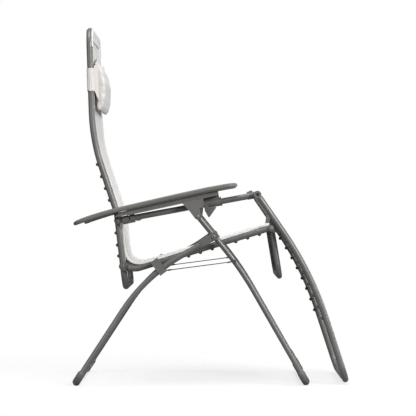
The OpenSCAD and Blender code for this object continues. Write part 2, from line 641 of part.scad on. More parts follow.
// the front seat clips stop short, because the knee bar folds up past them
SHORT_CLIPS = 3;
module seat_clips() color(PLASTIC) for (s = [-1, 1]) for (i = [0:8])
  clip(toward(SEAT_REST, SEAT_DIP, 44 + i * CLIP_PITCH), unit(SEAT_DIP - SEAT_REST), s, SEAT_Y, SEAT_R,
    i < SHORT_CLIPS ? SEAT_Y : KNEE_HALF, BACK_HOOK);

// the legrest's clips follow its bend
REST_BACK = setback([ARM_REST[0], 0, ARM_REST[1]], at(REST_BEND, 0), at(REST_FOOT, 0), REST_ARC);
REST_ALONG = unit(REST_BEND - ARM_REST);
REST_MID = REST_BEND - REST_ALONG * REST_BACK + [REST_ALONG[1], -REST_ALONG[0]] * REST_ARC;
LEG_CLIP_FROM = 33;
LEG_CLIP_STEP = CLIP_PITCH / REST_ARC * 180 / PI;
module leg_clips() color(PLASTIC) for (s = [-1, 1]) for (i = [0:7]) {
  a = LEG_CLIP_FROM - i * LEG_CLIP_STEP;
  p = REST_MID + REST_ARC * [cos(a), sin(a)];
  clip(p, [-sin(a), cos(a)], s, REST_Y, TUBE_R + 0.3, LEG_HALF, LEG_HOOK);
}

/* ---- headrest ---- */

BACK_UP = unit(BACK_TOP - BACK_BEND);
PILLOW_MID = [-386.3, 968.5];
STRAP_T = 1.6;
STRAP_TALL = 81;

// children drawn across the back: X forward, Y to the side, Z up the back tube
module on_back(p) framed(at(p, 0), [BACK_UP[1], 0, -BACK_UP[0]], [0, 1, 0], [BACK_UP[0], 0, BACK_UP[1]])
  children();

PILLOW_REAR = TUBE_R + 0.7 + STRAP_T + 0.5;
module headrest_pillow() color(PILLOW) on_back(PILLOW_MID) loft([
  for (k = [-10:10]) let (
    f = sin(9 * k), g = sqrt(max(0.0036, 1 - pow(abs(f), 5))),
    h = PILLOW_HEIGHT / 2 * (0.55 + 0.45 * g), t = PILLOW_THICK * (0.18 + 0.82 * g) / 2
  ) [for (q = squircle(t, h, 0.72, 32))
    [PILLOW_REAR + (q[0] > 0 ? 0.36 * PILLOW_THICK / 2 + q[0] * 1.3 : 0.36 * PILLOW_THICK / 2 * (1 + q[0]
    / t)), -f * PILLOW_WIDTH / 2, q[1]]]
]);

module loop_2d(grow) {
  for (s = [-1, 1]) translate([0, s * BACK_Y]) circle(TUBE_R + 0.7 + grow, $fn = 64);
  square([2 * (TUBE_R + 0.7 + grow), 2 * BACK_Y], center = true);
}
module headrest_straps() color(PILLOW) on_back(PILLOW_MID + BACK_UP * 13)
  translate([0, 0, -STRAP_TALL / 2]) linear_extrude(STRAP_TALL) difference() {
  loop_2d(STRAP_T);
  loop_2d(0);
}

rear_leg_frame();
front_leg_frame();
leg_pivot_rivets();
rear_leg_glides();
front_leg_glides();
leg_bracket_right();
leg_bracket_left();
leg_clamp_right();
leg_clamp_left();
stay_cable_right();
stay_cable_left();
seat_pivot_pins();
seat_tube_right();
seat_tube_left();
back_pivot_pins();
back_frame();
back_top_bar();
knee_pivot_pins();
legrest_frame();
legrest_end_rings();
knee_bar();
arm_pivot_pins();
arm_tube_right();
arm_tube_left();
arm_knuckle_right();
arm_knuckle_left();
knuckle_rivets();
guide_bush_right();
guide_bush_left();
guide_housing_right();
guide_housing_left();
guide_bolts();
rear_saddle_right();
rear_saddle_left();
lock_lever_right();
lock_lever_left();
armrest_pad_right();
armrest_pad_left();
pad_rail_right();
pad_rail_left();
back_sling();
lumbar_sling();
seat_sling();
knee_sling();
leg_sling();
back_clips();
seat_clips();
leg_clips();
headrest_pillow();
headrest_straps();
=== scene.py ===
"""Looks of the zero gravity recliner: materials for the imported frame, and the sling, headrest,
armrest pads and rivet heads as their own pieces. Metres, in the frame's axes."""

import json
import math

import bmesh
import bpy
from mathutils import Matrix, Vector, noise


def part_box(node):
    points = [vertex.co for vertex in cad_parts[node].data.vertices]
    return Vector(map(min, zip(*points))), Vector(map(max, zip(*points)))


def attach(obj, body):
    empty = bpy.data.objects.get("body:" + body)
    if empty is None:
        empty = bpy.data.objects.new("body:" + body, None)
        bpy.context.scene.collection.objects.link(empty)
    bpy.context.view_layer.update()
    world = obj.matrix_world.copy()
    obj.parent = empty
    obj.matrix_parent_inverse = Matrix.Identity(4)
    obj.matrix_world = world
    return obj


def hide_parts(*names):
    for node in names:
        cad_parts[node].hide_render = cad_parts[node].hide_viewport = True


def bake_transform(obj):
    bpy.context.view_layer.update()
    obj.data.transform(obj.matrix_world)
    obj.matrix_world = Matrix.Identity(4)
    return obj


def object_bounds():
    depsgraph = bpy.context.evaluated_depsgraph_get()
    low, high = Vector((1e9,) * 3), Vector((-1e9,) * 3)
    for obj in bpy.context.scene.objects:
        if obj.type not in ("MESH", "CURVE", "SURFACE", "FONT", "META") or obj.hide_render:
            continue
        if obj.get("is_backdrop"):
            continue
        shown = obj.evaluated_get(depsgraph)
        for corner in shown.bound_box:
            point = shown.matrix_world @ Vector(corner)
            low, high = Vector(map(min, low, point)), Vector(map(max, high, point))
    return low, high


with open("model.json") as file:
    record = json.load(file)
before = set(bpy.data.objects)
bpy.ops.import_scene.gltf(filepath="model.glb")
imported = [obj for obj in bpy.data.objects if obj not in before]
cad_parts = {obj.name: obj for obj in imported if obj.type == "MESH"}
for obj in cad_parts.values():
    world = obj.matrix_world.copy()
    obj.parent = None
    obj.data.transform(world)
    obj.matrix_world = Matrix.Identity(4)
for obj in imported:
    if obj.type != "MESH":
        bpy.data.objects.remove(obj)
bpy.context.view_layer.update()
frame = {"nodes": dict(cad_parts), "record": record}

NODES = frame["nodes"]
RECORD = frame["record"]
MM = 0.001

# ---------------------------------------------------------------- camera, floor, light

scene = bpy.context.scene
scene.view_settings.view_transform = "Standard"
scene.view_settings.look = "None"

CAMERA_PLACE = (0.0127, -7.6, 0.5724)
LENS = 198
SHIFT = (-0.0168, -0.0048)

camera_data = bpy.data.cameras.new("camera")
camera_data.lens = LENS
camera_data.sensor_width = 36
camera_data.shift_x, camera_data.shift_y = SHIFT
camera_data.clip_end = 100
camera = bpy.data.objects.new("camera", camera_data)
camera.location = CAMERA_PLACE
camera.rotation_euler = (math.radians(90), 0, 0)
scene.collection.objects.link(camera)
scene.camera = camera


def area_light(name, place, target, size, power):
    data = bpy.data.lights.new(name, "AREA")
    data.shape = "DISK"
    data.size = size
    data.energy = power
    lamp = bpy.data.objects.new(name, data)
    lamp.location = place
    lamp.rotation_mode = "QUATERNION"
    lamp.rotation_quaternion = (Vector(target) - Vector(place)).to_track_quat("-Z", "Y")
    scene.collection.objects.link(lamp)


MIDDLE = (0, 0, 0.6)
area_light("key", (2.9, -4.2, 2.7), MIDDLE, 1.9, 260)
area_light("top", (-0.6, -0.8, 4.2), MIDDLE, 2.4, 95)
area_light("side", (4.6, 0.4, 1.6), MIDDLE, 1.8, 70)
area_light("fill", (-3.6, -4.4, 1.2), MIDDLE, 2.0, 60)


# ---------------------------------------------------------------- node graphs

RANGE_KEYS = ("From Min", "From Max", "To Min", "To Max")


class Graph:
    """A material's node tree with short calls for the nodes used here."""

    def __init__(self, name):
        self.material = bpy.data.materials.new(name)
        self.material.use_nodes = True
        self.tree = self.material.node_tree
        self.tree.nodes.clear()
        self.shader = self.add("ShaderNodeBsdfPrincipled")
        out = self.add("ShaderNodeOutputMaterial")
        self.link(self.shader.outputs[0], out.inputs["Surface"])

    def add(self, kind, **props):
        node = self.tree.nodes.new(kind)
        for key, value in props.items():
            setattr(node, key, value)
        return node

    def link(self, source, socket):
        self.tree.links.new(source, socket)

    def feed(self, socket, value):
        if isinstance(value, bpy.types.NodeSocket):
            self.link(value, socket)
        else:
            socket.default_value = value

    def math(self, operation, a, b=0.0, clamp=False):
        node = self.add("ShaderNodeMath", operation=operation, use_clamp=clamp)
        self.feed(node.inputs[0], a)
        self.feed(node.inputs[1], b)
        return node.outputs[0]

    def noise(self, vector, scale, detail=3.0, rough=0.5):
        node = self.add("ShaderNodeTexNoise")
        self.link(vector, node.inputs["Vector"])
        node.inputs["Scale"].default_value = scale
        node.inputs["Detail"].default_value = detail
        node.inputs["Roughness"].default_value = rough
        return node.outputs["Fac"]

    def stretch(self, vector, scale):
        node = self.add("ShaderNodeMapping")
        self.link(vector, node.inputs["Vector"])
        node.inputs["Scale"].default_value = scale
        return node.outputs[0]

    def spread(self, value, lo, hi, out_lo, out_hi):
        node = self.add("ShaderNodeMapRange")
        self.link(value, node.inputs["Value"])
        for key, number in zip(RANGE_KEYS, (lo, hi, out_lo, out_hi)):
            node.inputs[key].default_value = number
        return node.outputs[0]

    def blend(self, factor, a, b):
        node = self.add("ShaderNodeMix", data_type="RGBA")
        self.feed(node.inputs["Factor"], factor)
        for socket, value in ((node.inputs[6], a), (node.inputs[7], b)):
            if isinstance(value, bpy.types.NodeSocket):
                self.link(value, socket)
            else:
                socket.default_value = (*value, 1)
        return node.outputs[2]

    def bump(self, height, strength, distance, under=None):
        node = self.add("ShaderNodeBump")
        self.link(height, node.inputs["Height"])
        node.inputs["Strength"].default_value = strength
        node.inputs["Distance"].default_value = distance
        if under:
            self.link(under, node.inputs["Normal"])
        return node.outputs[0]

    def finish(self, colour, rough, normal, **fixed):
        self.feed(self.shader.inputs["Base Color"], colour)
        self.feed(self.shader.inputs["Roughness"], rough)
        self.link(normal, self.shader.inputs["Normal"])
        for key, value in fixed.items():
            self.shader.inputs[key.replace("_", " ")].default_value = value
        return self.material


def scaled(colour, k):
    return tuple(c * k for c in colour)


DUST = (0.33, 0.32, 0.30)
SCUFF = (0.36, 0.355, 0.34)


def worn(g, place, colour, light, dust):
    """Base colour with slow mottling, dust in patches and light scuffs."""
    mottle = g.spread(g.noise(place, 14, 4), 0.35, 0.65, 0, 1)
    mottled = g.blend(mottle, scaled(colour, 0.93), scaled(colour, 1.07))
    dusted = g.blend(g.spread(g.noise(place, 5, 5, 0.6), 0.52, 0.75, 0, dust), mottled, DUST)
    scuffs = g.noise(g.stretch(place, (220, 60, 220)), 1.0, 5, 0.7)
    return g.blend(g.spread(scuffs, 0.66, 0.74, 0, light), dusted, SCUFF)


def powder_coat(name, colour):
    g = Graph(name)
    place = g.add("ShaderNodeTexCoord").outputs["Object"]
    base = worn(g, place, colour, 0.35, 0.12)
    rough = g.spread(g.noise(place, 30, 4), 0.3, 0.7, 0.36, 0.46)
    peel = g.bump(g.noise(place, 900, 2), 0.05, 0.0002)
    wave = g.bump(g.noise(place, 150, 2), 0.03, 0.0004, peel)
    return g.finish(base, rough, wave, Metallic=0.2, Coat_Weight=0.2, Coat_Roughness=0.36)


def moulded(name, colour, rough_lo, rough_hi, grain):
    g = Graph(name)
    place = g.add("ShaderNodeTexCoord").outputs["Object"]
    base = worn(g, place, colour, 0.25, 0.15)
    rough = g.spread(g.noise(place, 45, 3), 0.3, 0.7, rough_lo, rough_hi)
    fine = g.bump(g.noise(place, 1100, 3, 0.7), grain, 0.0005)
    return g.finish(base, rough, g.bump(g.noise(place, 60, 3), 0.12, 0.001, fine), Specular_IOR_Level=0.45)


def plated(name, colour):
    g = Graph(name)
    place = g.add("ShaderNodeTexCoord").outputs["Object"]
    cloudy = g.spread(g.noise(place, 120, 4), 0.35, 0.65, 0, 1)
    base = g.blend(cloudy, scaled(colour, 0.85), scaled(colour, 1.1))
    rough = g.spread(g.noise(place, 200, 3), 0.3, 0.7, 0.22, 0.4)
    return g.finish(base, rough, g.bump(g.noise(place, 700, 2), 0.2, 0.0003), Metallic=1.0)


def woven(name, colour, pitch, valley_shade, slub):
    """A plain weave in the piece's own 'weave' coordinates, which are in metres, with painted shade in the valleys
    between the yarns.
    """
    g = Graph(name)
    coords = g.add("ShaderNodeUVMap", uv_map="weave").outputs[0]
    parts = g.add("ShaderNodeSeparateXYZ")
    g.link(coords, parts.inputs[0])
    waves = [g.math("SINE", g.math("MULTIPLY", parts.outputs[k], math.pi / pitch)) for k in (0, 1)]
    over = g.math("GREATER_THAN", g.math("MULTIPLY", waves[0], waves[1]), 0.0)
    ridges = [g.math("POWER", g.math("ABSOLUTE", w), 0.6) for w in waves]
    warp = g.math("MULTIPLY", over, ridges[0])
    weft = g.math("MULTIPLY", g.math("SUBTRACT", 1.0, over), ridges[1])
    height = g.math("ADD", warp, weft)
    yarn = g.noise(g.stretch(coords, (420, 16, 1)), 1.0, 4, 0.6)
    pick = g.noise(g.stretch(coords, (16, 420, 1)), 1.0, 4, 0.6)
    streaks = g.spread(g.math("ADD", yarn, pick), 0.75, 1.25, 0, 1)
    streaked = g.blend(streaks, scaled(colour, 1 - slub), scaled(colour, 1 + slub * 0.6))
    soiled = g.blend(g.spread(g.noise(coords, 9, 4), 0.5, 0.8, 0, 0.18), streaked, scaled(colour, 0.82))
    # painted shade: the valleys between the yarns are darkened towards 35% of the cloth's colour
    shaded = g.blend(g.spread(height, 0.0, 0.7, valley_shade, 0.0), soiled, scaled(colour, 0.35))
    normal = g.bump(height, 0.5, pitch * 0.25)
    return g.finish(shaded, 0.78, normal, Sheen_Weight=0.15, Sheen_Roughness=0.5, Specular_IOR_Level=0.3)


def stranded(name, colour):
    """Coated wire: the strands twist along the piece's 'weave' coordinates, with painted shade in the grooves
    between them and a painted highlight on their crests.
    """
    g = Graph(name)
    coords = g.add("ShaderNodeUVMap", uv_map="weave").outputs[0]
    parts = g.add("ShaderNodeSeparateXYZ")
    g.link(coords, parts.inputs[0])
    around = g.math("MULTIPLY", parts.outputs[0], 6.0)
    along = g.math("MULTIPLY", parts.outputs[1], 900.0)
    twist = g.math("ADD", around, along)
    strand = g.math("ABSOLUTE", g.math("SINE", twist))
    # painted shade and highlight: the colour follows the strands' height, darker in the grooves and lighter on the
    # crests
    base = g.blend(strand, scaled(colour, 0.55), scaled(colour, 1.15))
    return g.finish(base, 0.42, g.bump(strand, 0.6, 0.0006), Metallic=0.6)


FRAME_GREY = (0.118, 0.116, 0.110)
PLASTIC_GREY = (0.108, 0.106, 0.100)
CLIP_GREY = (0.05, 0.049, 0.046)
RIVET_GREY = (0.19, 0.187, 0.18)
OFF_WHITE = (0.66, 0.65, 0.635)
PAINT = powder_coat("frame_paint_look", FRAME_GREY)
PLASTIC = moulded("plastic_look", PLASTIC_GREY, 0.42, 0.58, 0.35)
PAD_PLASTIC = moulded("pad_look", scaled(PLASTIC_GREY, 1.12), 0.40, 0.52, 0.5)
CLIP_PLASTIC = moulded("clip_look", CLIP_GREY, 0.45, 0.6, 0.3)
ZINC = plated("zinc_look", (0.42, 0.415, 0.40))
RIVET = powder_coat("rivet_look", RIVET_GREY)
# near-black look for the disc on the leg rivets' heads: painted shade for the rivet's hollow
SOCKET_SHADE = moulded("socket_shade_look", (0.012, 0.012, 0.012), 0.6, 0.8, 0.2)
WIRE = stranded("cable_look", (0.17, 0.167, 0.16))
MESH = woven("sling_look", OFF_WHITE, 0.0019, 0.42, 0.07)
BORDER = woven("hem_look", scaled(OFF_WHITE, 1.06), 0.0009, 0.2, 0.03)
PILLOW_CLOTH = woven("pillow_look", (0.60, 0.60, 0.605), 0.0016, 0.35, 0.12)
GUSSET_CLOTH = woven("gusset_look", (0.655, 0.63, 0.60), 0.0012, 0.22, 0.06)
THREAD = woven("thread_look", (0.66, 0.65, 0.63), 0.0006, 0.3, 0.05)
LOOKS = {
    "frame_paint": PAINT, "plastic": PLASTIC, "zinc": ZINC, "cable": WIRE, "sling": MESH, "pillow": PILLOW_CLOTH,
}
OWN_LOOKS = {
    "back_clips": CLIP_PLASTIC, "seat_clips": CLIP_PLASTIC, "leg_clips": CLIP_PLASTIC,
    "back_pivot_pins": PAINT, "arm_pivot_pins": PAINT, "leg_pivot_rivets": PAINT,
    "knee_pivot_pins": RIVET,
}

for row in RECORD["subparts"]:
    node = NODES[row["node"]]
    look = OWN_LOOKS.get(row["node"], LOOKS[row["material_slot"]])
    if not node.material_slots:
        node.data.materials.append(look)
    for holder in node.material_slots:
        holder.material = look

# the floor is faint under the chair and fades out round it, from FADE_FROM to FADE_TO metres
FLOOR_WHITE = (0.93, 0.93, 0.925, 1)
FADE_FROM, FADE_TO = 0.45, 1.5
FLOOR_SHOWS = 0.3
FLOOR_HALF = 30
FLOOR_DROP = 0.0005
CORNERS = ((-1, -1), (1, -1), (1, 1), (-1, 1))

floor_graph = Graph("floor_look")
floor_place = floor_graph.add("ShaderNodeTexCoord").outputs["Object"]
floor_bump = floor_graph.bump(floor_graph.noise(floor_place, 30), 0.02, 0.001)
floor_graph.finish(FLOOR_WHITE, 0.6, floor_bump)
floor_distance = floor_graph.add("ShaderNodeVectorMath", operation="LENGTH")
floor_graph.link(floor_place, floor_distance.inputs[0])
floor_fade = floor_graph.spread(floor_distance.outputs["Value"], FADE_FROM, FADE_TO, FLOOR_SHOWS, 0.0)
floor_graph.link(floor_fade, floor_graph.shader.inputs["Alpha"])
floor_mesh = bpy.data.meshes.new("floor")
floor_corners = [(x * FLOOR_HALF, y * FLOOR_HALF, -FLOOR_DROP) for x, y in CORNERS]
floor_mesh.from_pydata(floor_corners, [], [(0, 1, 2, 3)])
floor_mesh.materials.append(floor_graph.material)
floor = bpy.data.objects.new("floor", floor_mesh)
scene.collection.objects.link(floor)
floor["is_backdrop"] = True

# the room is white behind the chair, but lights it softly from above and hardly at all from below
ROOM_BELOW, ROOM_ABOVE = 0.06, 0.5
RAMP_LOW, RAMP_HIGH = -0.35, 0.7
world = bpy.data.worlds.new("studio")
world.use_nodes = True
scene.world = world
sky = world.node_tree
background = sky.nodes["Background"]
background.inputs["Color"].default_value = (1, 1, 1, 1)
direction = sky.nodes.new("ShaderNodeSeparateXYZ")
sky.links.new(sky.nodes.new("ShaderNodeTexCoord").outputs["Generated"], direction.inputs[0])
ramp = sky.nodes.new("ShaderNodeMapRange")
sky.links.new(direction.outputs[2], ramp.inputs["Value"])
for key, number in zip(RANGE_KEYS, (RAMP_LOW, RAMP_HIGH, ROOM_BELOW, ROOM_ABOVE)):
    ramp.inputs[key].default_value = number
seen = sky.nodes.new("ShaderNodeMix")
sky.links.new(sky.nodes.new("ShaderNodeLightPath").outputs["Is Camera Ray"], seen.inputs["Factor"])
sky.links.new(ramp.outputs[0], seen.inputs[2])
seen.inputs[3].default_value = 1.0
sky.links.new(seen.outputs[0], background.inputs["Strength"])

# ---------------------------------------------------------------- mesh helpers


def uv_from_sides(mesh):
    """Fills the 'weave' coordinates by looking at each face from the axis that it faces most."""
    layer = mesh.uv_layers.get("weave") or mesh.uv_layers.new(name="weave")
    for polygon in mesh.polygons:
        axis = max(range(3), key=lambda k: abs(polygon.normal[k]))
        pair = [k for k in (1, 0, 2) if k != axis][:2]
        for corner in polygon.loop_indices:
            at = mesh.loops[corner].vertex_index
            layer.data[corner].uv = [mesh.vertices[at].co[k] for k in pair]


def piece(name, verts, faces, look, uvs=None, sharp=math.radians(40)):
    """A mesh object. uvs holds one (u, v) for each vertex, in metres, or None to project it from the sides."""
    mesh = bpy.data.meshes.new(name)
    mesh.from_pydata([tuple(v) for v in verts], [], faces)
    mesh.validate()
    mesh.materials.append(look)
    for polygon in mesh.polygons:
        polygon.use_smooth = True
    if uvs:
        layer = mesh.uv_layers.new(name="weave")
        for loop in mesh.loops:
            layer.data[loop.index].uv = uvs[loop.vertex_index]
    else:
        uv_from_sides(mesh)
    mesh.set_sharp_from_angle(angle=sharp)
    obj = bpy.data.objects.new(name, mesh)
    scene.collection.objects.link(obj)
    return obj


def rings_faces(count, size):
    """Quads between rings of points, with the two ends filled."""
    faces = []
    for k in range(count - 1):
        for i in range(size):
            a, b = k * size + i, k * size + (i + 1) % size
            faces.append((a, b, b + size, a + size))
    faces.append(tuple(reversed(range(size))))
    faces.append(tuple((count - 1) * size + i for i in range(size)))
    return faces


def slab_faces(high, wide):
    """Faces of two equal layers of high rows of wide points, closed round the rim."""
    base = wide * high
    faces = []
    for r in range(high - 1):
        for c in range(wide - 1):
            a = r * wide + c
            faces.append((a, a + wide, a + wide + 1, a + 1))
            faces.append((base + a, base + a + 1, base + a + wide + 1, base + a + wide))
    rim = list(range(wide)) + [r * wide + wide - 1 for r in range(1, high)]
    rim += [(high - 1) * wide + c for c in range(wide - 2, -1, -1)]
    rim += [r * wide for r in range(high - 2, 0, -1)]
    for a, b in zip(rim, rim[1:] + rim[:1]):
        faces.append((a, b, base + b, base + a))
    return faces


def lathe(name, place, axis, profile, look, body, sides=32):
    """Turns (radius, height) points round an axis from place and rides the piece on a body."""
    turn = Vector(axis).to_track_quat("Z", "Y").to_matrix()
    verts, uvs = [], []
    for r, h in profile:
        for i in range(sides):
            a = 2 * math.pi * i / sides
            verts.append(Vector(place) + turn @ Vector((r * math.cos(a), r * math.sin(a), h)))
            uvs.append((r * a, h))
    turned = piece(name, verts, rings_faces(len(profile), sides), look, uvs, sharp=math.radians(50))
    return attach(turned, body)


def outward(obj):
    """Turns the faces outward where the rings ran the other way."""
    work = bmesh.new()
    work.from_mesh(obj.data)
    bmesh.ops.recalc_face_normals(work, faces=work.faces)
    work.to_mesh(obj.data)
    work.free()
    return obj


# ---------------------------------------------------------------- the sling

BACK_PATH = [
    (-384.2, 1119), (-380.2, 1000), (-376.2, 880), (-373.6, 838), (-368.3, 800), (-359, 756), (-343, 704),
    (-324.5, 648), (-305.4, 590), (-291.5, 545), (-286, 510), (-282.5, 475), (-280, 441),
]
LUMBAR_PATH = [
    (-276.5, 424), (-273.5, 411), (-268.5, 402.5), (-262, 396.5), (-252, 390.5), (-244, 388), (-237.5, 387.2),
]
SEAT_PATH = [
    (-229, 387.2), (-218, 388.6), (-204, 392.2), (-188, 396.9), (-100, 423.8), (0, 454.4), (90, 481.8),
    (168, 505.6),
]
KNEE_PATH = [(186, 510), (196, 511.5), (207, 511), (218, 507.5), (228, 500.5), (234, 492)]
LEG_PATH = [
    (241.5, 481.5), (254, 462), (276, 426), (297, 388.5), (316.6, 350), (335, 311.5), (351.5, 273.4),
    (365.6, 235.2), (376, 203),
]
ROUTE = [Vector(p) * MM for p in BACK_PATH + LUMBAR_PATH + SEAT_PATH + KNEE_PATH + LEG_PATH]


def spline(points, per=12):
    """Points of a smooth curve through the given ones."""
    out = []
    ends = [points[0] * 2 - points[1], *points, points[-1] * 2 - points[-2]]
    for k in range(1, len(ends) - 2):
        p = ends[k - 1:k + 3]
        t = [0.0]
        for a, b in zip(p, p[1:]):
            t.append(t[-1] + math.sqrt((b - a).length))
        for i in range(per):
            x = t[1] + (t[2] - t[1]) * i / per
            a = [(p[j] * (t[j + 1] - x) + p[j + 1] * (x - t[j])) / (t[j + 1] - t[j]) for j in range(3)]
            b = [(a[j] * (t[j + 2] - x) + a[j + 1] * (x - t[j])) / (t[j + 2] - t[j]) for j in range(2)]
            out.append((b[0] * (t[2] - x) + b[1] * (x - t[1])) / (t[2] - t[1]))
    out.append(points[-1].copy())
    return out


CURVE = spline(ROUTE)
LENGTHS = [0.0]
for a, b in zip(CURVE, CURVE[1:]):
    LENGTHS.append(LENGTHS[-1] + (b - a).length)


def on_route(s):
    """Point, direction and sitter-side normal of the sling in the side plane, s metres along it."""
    s = min(max(s, 0.0), LENGTHS[-1])
    lo, hi = 0, len(LENGTHS) - 1
    while hi - lo > 1:
        mid = (lo + hi) // 2
        if LENGTHS[mid] <= s:
            lo = mid
        else:
            hi = mid
    f = (s - LENGTHS[lo]) / (LENGTHS[hi] - LENGTHS[lo])

    def heading(i):
        return (CURVE[min(i + 1, len(CURVE) - 1)] - CURVE[max(i - 1, 0)]).normalized()

    d = heading(lo).lerp(heading(hi), f).normalized()
    return CURVE[lo].lerp(CURVE[hi], f), d, Vector((-d.y, d.x))


def along_route(x, z):
    """How far along the sling the nearest point to (x, z) millimetres is."""
    target = Vector((x, z)) * MM
    best = min(range(len(CURVE)), key=lambda i: (CURVE[i] - target).length)
    return LENGTHS[best]


def smooth(x):
    x = min(max(x, 0.0), 1.0)
    return x * x * (3 - 2 * x)


BACK_HALF, SEAT_HALF, LEG_HALF = 0.232, 0.235, 0.268
CORNER_Z, CORNER_Y, CORNER_R = 1.083, 0.195, 0.055
S_SEAT = along_route(-229, 387.2)
S_LUMBAR = along_route(-262, 396.5)
S_BACK = along_route(-280, 441)
S_KNEE_START = along_route(168, 505.6)
S_KNEE = along_route(207, 511)
S_LEG = along_route(241.5, 481.5)
S_END = LENGTHS[-1]
# where the clips pull on the cloth, in millimetres: by height on the back, along the tube on the seat
BACK_CLIPS = (709, 670, 632, 594, 557, 487, 448, 413)
SEAT_CLIP_FROM, SEAT_CLIP_TO = Vector((194.3, 503.1)), Vector((-242.6, 369.5))
SEAT_DIRECTION = (SEAT_CLIP_TO - SEAT_CLIP_FROM).normalized()
SEAT_CLIP_FIRST, SEAT_CLIP_STEP, SEAT_CLIP_COUNT = 44, 39.5, 9
SEAT_TUBE_TO_CLOTH = Vector((-2.2, 7.2))
LEG_CLIPS = [
    (246.7, 466.5), (268.2, 430.5), (288, 395.3), (306.5, 360.8), (323.8, 326.5), (339.7, 291.3),
    (353.6, 256), (366.6, 219),
]
LEG_TUBE_TO_CLOTH = Vector((6, 5))


def route_at_height(z_mm):
    """Along the back only: where the sling passes a height."""
    rows = [i for i in range(len(CURVE)) if LENGTHS[i] <= S_LUMBAR]
    return LENGTHS[min(rows, key=lambda i: abs(CURVE[i].y - z_mm * MM))]


def seat_clip(i):
    along_tube = SEAT_CLIP_FROM + SEAT_DIRECTION * (SEAT_CLIP_FIRST + SEAT_CLIP_STEP * i)
    return along_route(*(along_tube + SEAT_TUBE_TO_CLOTH))


CLIP_STATIONS = sorted(
    [route_at_height(z_mm) for z_mm in BACK_CLIPS]
    + [seat_clip(i) for i in range(SEAT_CLIP_COUNT)]
    + [along_route(*(Vector(clip) + LEG_TUBE_TO_CLOTH)) for clip in LEG_CLIPS]
)
SCALLOP = 0.0034
SCALLOP_SPAN = 0.09


def half_width(s):
    """Half the sling's width, drawn in a little between the clips."""
    base = BACK_HALF + (SEAT_HALF - BACK_HALF) * smooth((s - S_BACK) / (S_SEAT - S_BACK))
    base += (LEG_HALF - SEAT_HALF) * smooth((s - S_KNEE + 0.004) / (S_LEG - S_KNEE + 0.004))
    z = on_route(s)[0].y
    if s < S_LUMBAR and z > CORNER_Z:
        corner = CORNER_Y + math.sqrt(max(0.0, CORNER_R ** 2 - (z - CORNER_Z) ** 2)) - 0.0105
        base = min(base, corner)
    before = [c for c in CLIP_STATIONS if c <= s]
    after = [c for c in CLIP_STATIONS if c > s]
    if before and after and after[0] - before[-1] < SCALLOP_SPAN:
        f = (s - before[-1]) / (after[0] - before[-1])
        base -= SCALLOP * math.sin(math.pi * f) ** 0.8 * min(1, (after[0] - before[-1]) / 0.04)
    return base


SAG = 0.0022


def sling_point(s, y, lift=0.0):
    """A point of the sling's middle surface, with a slight hollow and tension ripples near its edges."""
    p, _, n = on_route(s)
    half = half_width(s)
    f = min(abs(y) / half, 1.0)
    hollow = -SAG * (1 - f ** 4)
    broad = 0.0007 * noise.noise(Vector((s * 22, y * 7, 3.1)))
    at_edge = 0.0005 * f ** 6 * noise.noise(Vector((s * 70, y * 4, 9.7)))
    ripple = broad + at_edge
    q = p + n * (hollow + ripple * (1 - 0.5 * f) + lift)
    return Vector((q.x, y, q.y))


SHEET_T = 0.0014
STEP = 0.0065
COLUMNS = 44


def stations(s0, s1):
    count = max(2, round((s1 - s0) / STEP))
    return [s0 + (s1 - s0) * i / count for i in range(count + 1)]


def sheet_piece(name, s0, s1):
    rows = stations(s0, s1)
    even = [2 * k / COLUMNS - 1 for k in range(COLUMNS + 1)]
    # the columns stand a little closer together towards the edges
    across = [math.sin(math.pi / 2 * f) * 0.35 + f * 0.65 for f in even]
    verts, uvs = [], []
    for side in (0.5, -0.5):
        for s in rows:
            half = half_width(s)
            for f in across:
                verts.append(sling_point(s, f * half, side * SHEET_T))
                uvs.append((f * half, s))
    return outward(piece(name, verts, slab_faces(len(rows), COLUMNS + 1), MESH, uvs))


# a hem's section: (distance in from the edge, height over the sheet's middle)
HEM_TOP = [
    (-0.0205, 0.0013), (-0.012, 0.0017), (-0.0055, 0.0015), (-0.0034, 0.0024), (-0.0012, 0.0030), (0.0010, 0.0024),
]
HEM_SECTION = [(-0.021, 0.0), *HEM_TOP, (0.0019, 0.0), *[(inset, -lift) for inset, lift in reversed(HEM_TOP)]]


def hem_piece(name, s0, s1):
    verts, uvs, faces = [], [], []
    rows = stations(s0, s1)
    for side in (-1, 1):
        base = len(verts)
        for s in rows:
            half = half_width(s)
            for k, (inset, lift) in enumerate(HEM_SECTION):
                ripple = 1 + 0.12 * noise.noise(Vector((s * 160, side * 5.0, k * 0.6)))
                verts.append(sling_point(s, side * (half + inset), lift * ripple))
                uvs.append((half + inset, s))
        faces += [tuple(base + i for i in f) for f in rings_faces(len(rows), len(HEM_SECTION))]
    return outward(piece(name, verts, faces, BORDER, uvs))


STITCH_PITCH = 0.0045
# each line of stitches: distance in from the edge, and its height over the sheet's middle
STITCH_LIFT = {-0.0185: 0.0019, -0.0068: 0.0020}


def stitch(verts, faces, a, b, up, radius=0.00042):
    """A short sunken-ended thread from a to b, standing on the cloth."""
    along = (b - a).normalized()
    side = along.cross(up).normalized()
    base = len(verts)
    for f, r in ((0.0, 0.35), (0.2, 0.9), (0.8, 0.9), (1.0, 0.35)):
        p = a.lerp(b, f)
        for k in range(5):
            t = math.pi * 2 * k / 5
            verts.append(p + side * (math.cos(t) * radius * r) + up * (math.sin(t) * radius * r))
    faces += [tuple(base + i for i in f) for f in rings_faces(4, 5)]


